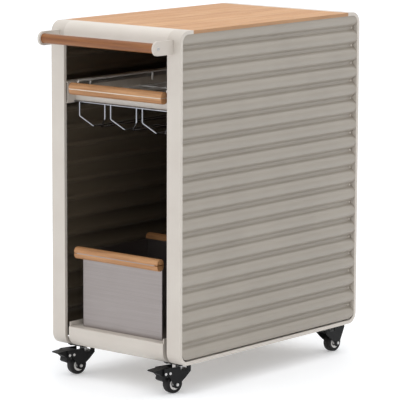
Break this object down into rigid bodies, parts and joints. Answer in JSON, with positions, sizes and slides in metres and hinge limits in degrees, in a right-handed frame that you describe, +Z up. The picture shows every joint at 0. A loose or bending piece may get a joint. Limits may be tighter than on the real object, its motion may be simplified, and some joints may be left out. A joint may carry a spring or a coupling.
{
  "type": "serving trolley",
  "caption": "Kitchen serving trolley with corrugated metal sides, wooden worktop and push handle, pull-out wire tray, stemware rack, steel bin and swivel casters.",
  "frame": {"origin": "on the floor, at the centre of the whole trolley's footprint, handle included", "axes": "+Z up; the front, with the handle and the open compartment, faces -Y; +X to the right seen from the front"},
  "size_m": [0.438, 0.814, 0.93],
  "materials": {
    "frame_paint": "satin",
    "panel_paint": "satin",
    "worktop_wood": "satin",
    "handle_wood": "satin",
    "grip_wood": "satin",
    "brushed_steel": "brushed",
    "wire_chrome": "polished",
    "zinc": "plated",
    "caster_black": "satin",
    "tyre": "matt",
    "hub_plastic": "satin"
  },
  "bodies": {
    "cabinet": {"left_hoop": "frame_paint", "right_hoop": "frame_paint", "front_fascia": "frame_paint", "rear_fascia": "frame_paint", "left_side_panel": "panel_paint", "right_side_panel": "panel_paint", "back_panel": "panel_paint", "worktop": "worktop_wood", "worktop_side_rails": "frame_paint", "worktop_cross_bars": "frame_paint", "bottom_shelf": "frame_paint", "handle_bar": "handle_wood", "left_handle_bracket": "frame_paint", "right_handle_bracket": "frame_paint", "handle_screws": "zinc", "left_tray_support": "frame_paint", "right_tray_support": "frame_paint", "tray_carrier_bars": "frame_paint", "glass_rack": "wire_chrome", "tray_runner_channels": "zinc", "caster_screws": "caster_black", "front_left_caster_plate": "caster_black", "front_left_kingpin": "zinc", "front_right_caster_plate": "caster_black", "front_right_kingpin": "zinc", "rear_left_caster_plate": "caster_black", "rear_left_kingpin": "zinc", "rear_right_caster_plate": "caster_black", "rear_right_kingpin": "zinc"},
    "tray": {"tray_frame": "brushed_steel", "tray_wire_floor": "wire_chrome", "tray_gallery": "wire_chrome", "front_tray_grip": "grip_wood", "rear_tray_grip": "grip_wood", "tray_runner_slides": "zinc"},
    "bin": {"bin_shell": "brushed_steel", "front_bin_grip": "grip_wood", "rear_bin_grip": "grip_wood"},
    "front_left_swivel": {"front_left_fork": "caster_black", "front_left_axle": "zinc", "front_left_brake_rivets": "zinc"},
    "front_left_wheel": {"front_left_tyre": "tyre", "front_left_hub": "hub_plastic"},
    "front_left_brake": {"front_left_brake_lever": "caster_black"},
    "front_right_swivel": {"front_right_fork": "caster_black", "front_right_axle": "zinc", "front_right_brake_rivets": "zinc"},
    "front_right_wheel": {"front_right_tyre": "tyre", "front_right_hub": "hub_plastic"},
    "front_right_brake": {"front_right_brake_lever": "caster_black"},
    "rear_left_swivel": {"rear_left_fork": "caster_black", "rear_left_axle": "zinc"},
    "rear_left_wheel": {"rear_left_tyre": "tyre", "rear_left_hub": "hub_plastic"},
    "rear_right_swivel": {"rear_right_fork": "caster_black", "rear_right_axle": "zinc"},
    "rear_right_wheel": {"rear_right_tyre": "tyre", "rear_right_hub": "hub_plastic"}
  },
  "joints": [
    {"name": "tray_slide", "type": "slide", "parent": "cabinet", "child": "tray", "axis": [0, -1, 0], "range_m": [0, 0.35]},
    {"name": "bin_slide", "type": "slide", "parent": "cabinet", "child": "bin", "axis": [0, -1, 0], "range_m": [0, 0.36]},
    {"name": "front_left_swivel_turn", "type": "hinge", "parent": "cabinet", "child": "front_left_swivel", "pos_m": [-0.166, -0.271, 0.06], "axis": [0, 0, 1], "continuous": true},
    {"name": "front_left_wheel_spin", "type": "hinge", "parent": "front_left_swivel", "child": "front_left_wheel", "pos_m": [-0.17095, -0.29244, 0.025], "axis": [0.9744, -0.225, 0], "continuous": true},
    {"name": "front_left_brake_press", "type": "hinge", "parent": "front_left_swivel", "child": "front_left_brake", "pos_m": [-0.17567, -0.3129, 0.0565], "axis": [0.9744, -0.225, 0], "range_deg": [0, 8]},
    {"name": "front_right_swivel_turn", "type": "hinge", "parent": "cabinet", "child": "front_right_swivel", "pos_m": [0.166, -0.271, 0.06], "axis": [0, 0, 1], "continuous": true},
    {"name": "front_right_wheel_spin", "type": "hinge", "parent": "front_right_swivel", "child": "front_right_wheel", "pos_m": [0.16105, -0.29244, 0.025], "axis": [0.9744, -0.225, 0], "continuous": true},
    {"name": "front_right_brake_press", "type": "hinge", "parent": "front_right_swivel", "child": "front_right_brake", "pos_m": [0.15633, -0.3129, 0.0565], "axis": [0.9744, -0.225, 0], "range_deg": [0, 8]},
    {"name": "rear_left_swivel_turn", "type": "hinge", "parent": "cabinet", "child": "rear_left_swivel", "pos_m": [-0.166, 0.347, 0.06], "axis": [0, 0, 1], "continuous": true},
    {"name": "rear_left_wheel_spin", "type": "hinge", "parent": "rear_left_swivel", "child": "rear_left_wheel", "pos_m": [-0.16408, 0.36892, 0.025], "axis": [-0.9962, 0.0872, 0], "continuous": true},
    {"name": "rear_right_swivel_turn", "type": "hinge", "parent": "cabinet", "child": "rear_right_swivel", "pos_m": [0.166, 0.347, 0.06], "axis": [0, 0, 1], "continuous": true},
    {"name": "rear_right_wheel_spin", "type": "hinge", "parent": "rear_right_swivel", "child": "rear_right_wheel", "pos_m": [0.16792, 0.36892, 0.025], "axis": [-0.9962, 0.0872, 0], "continuous": true}
  ]
}
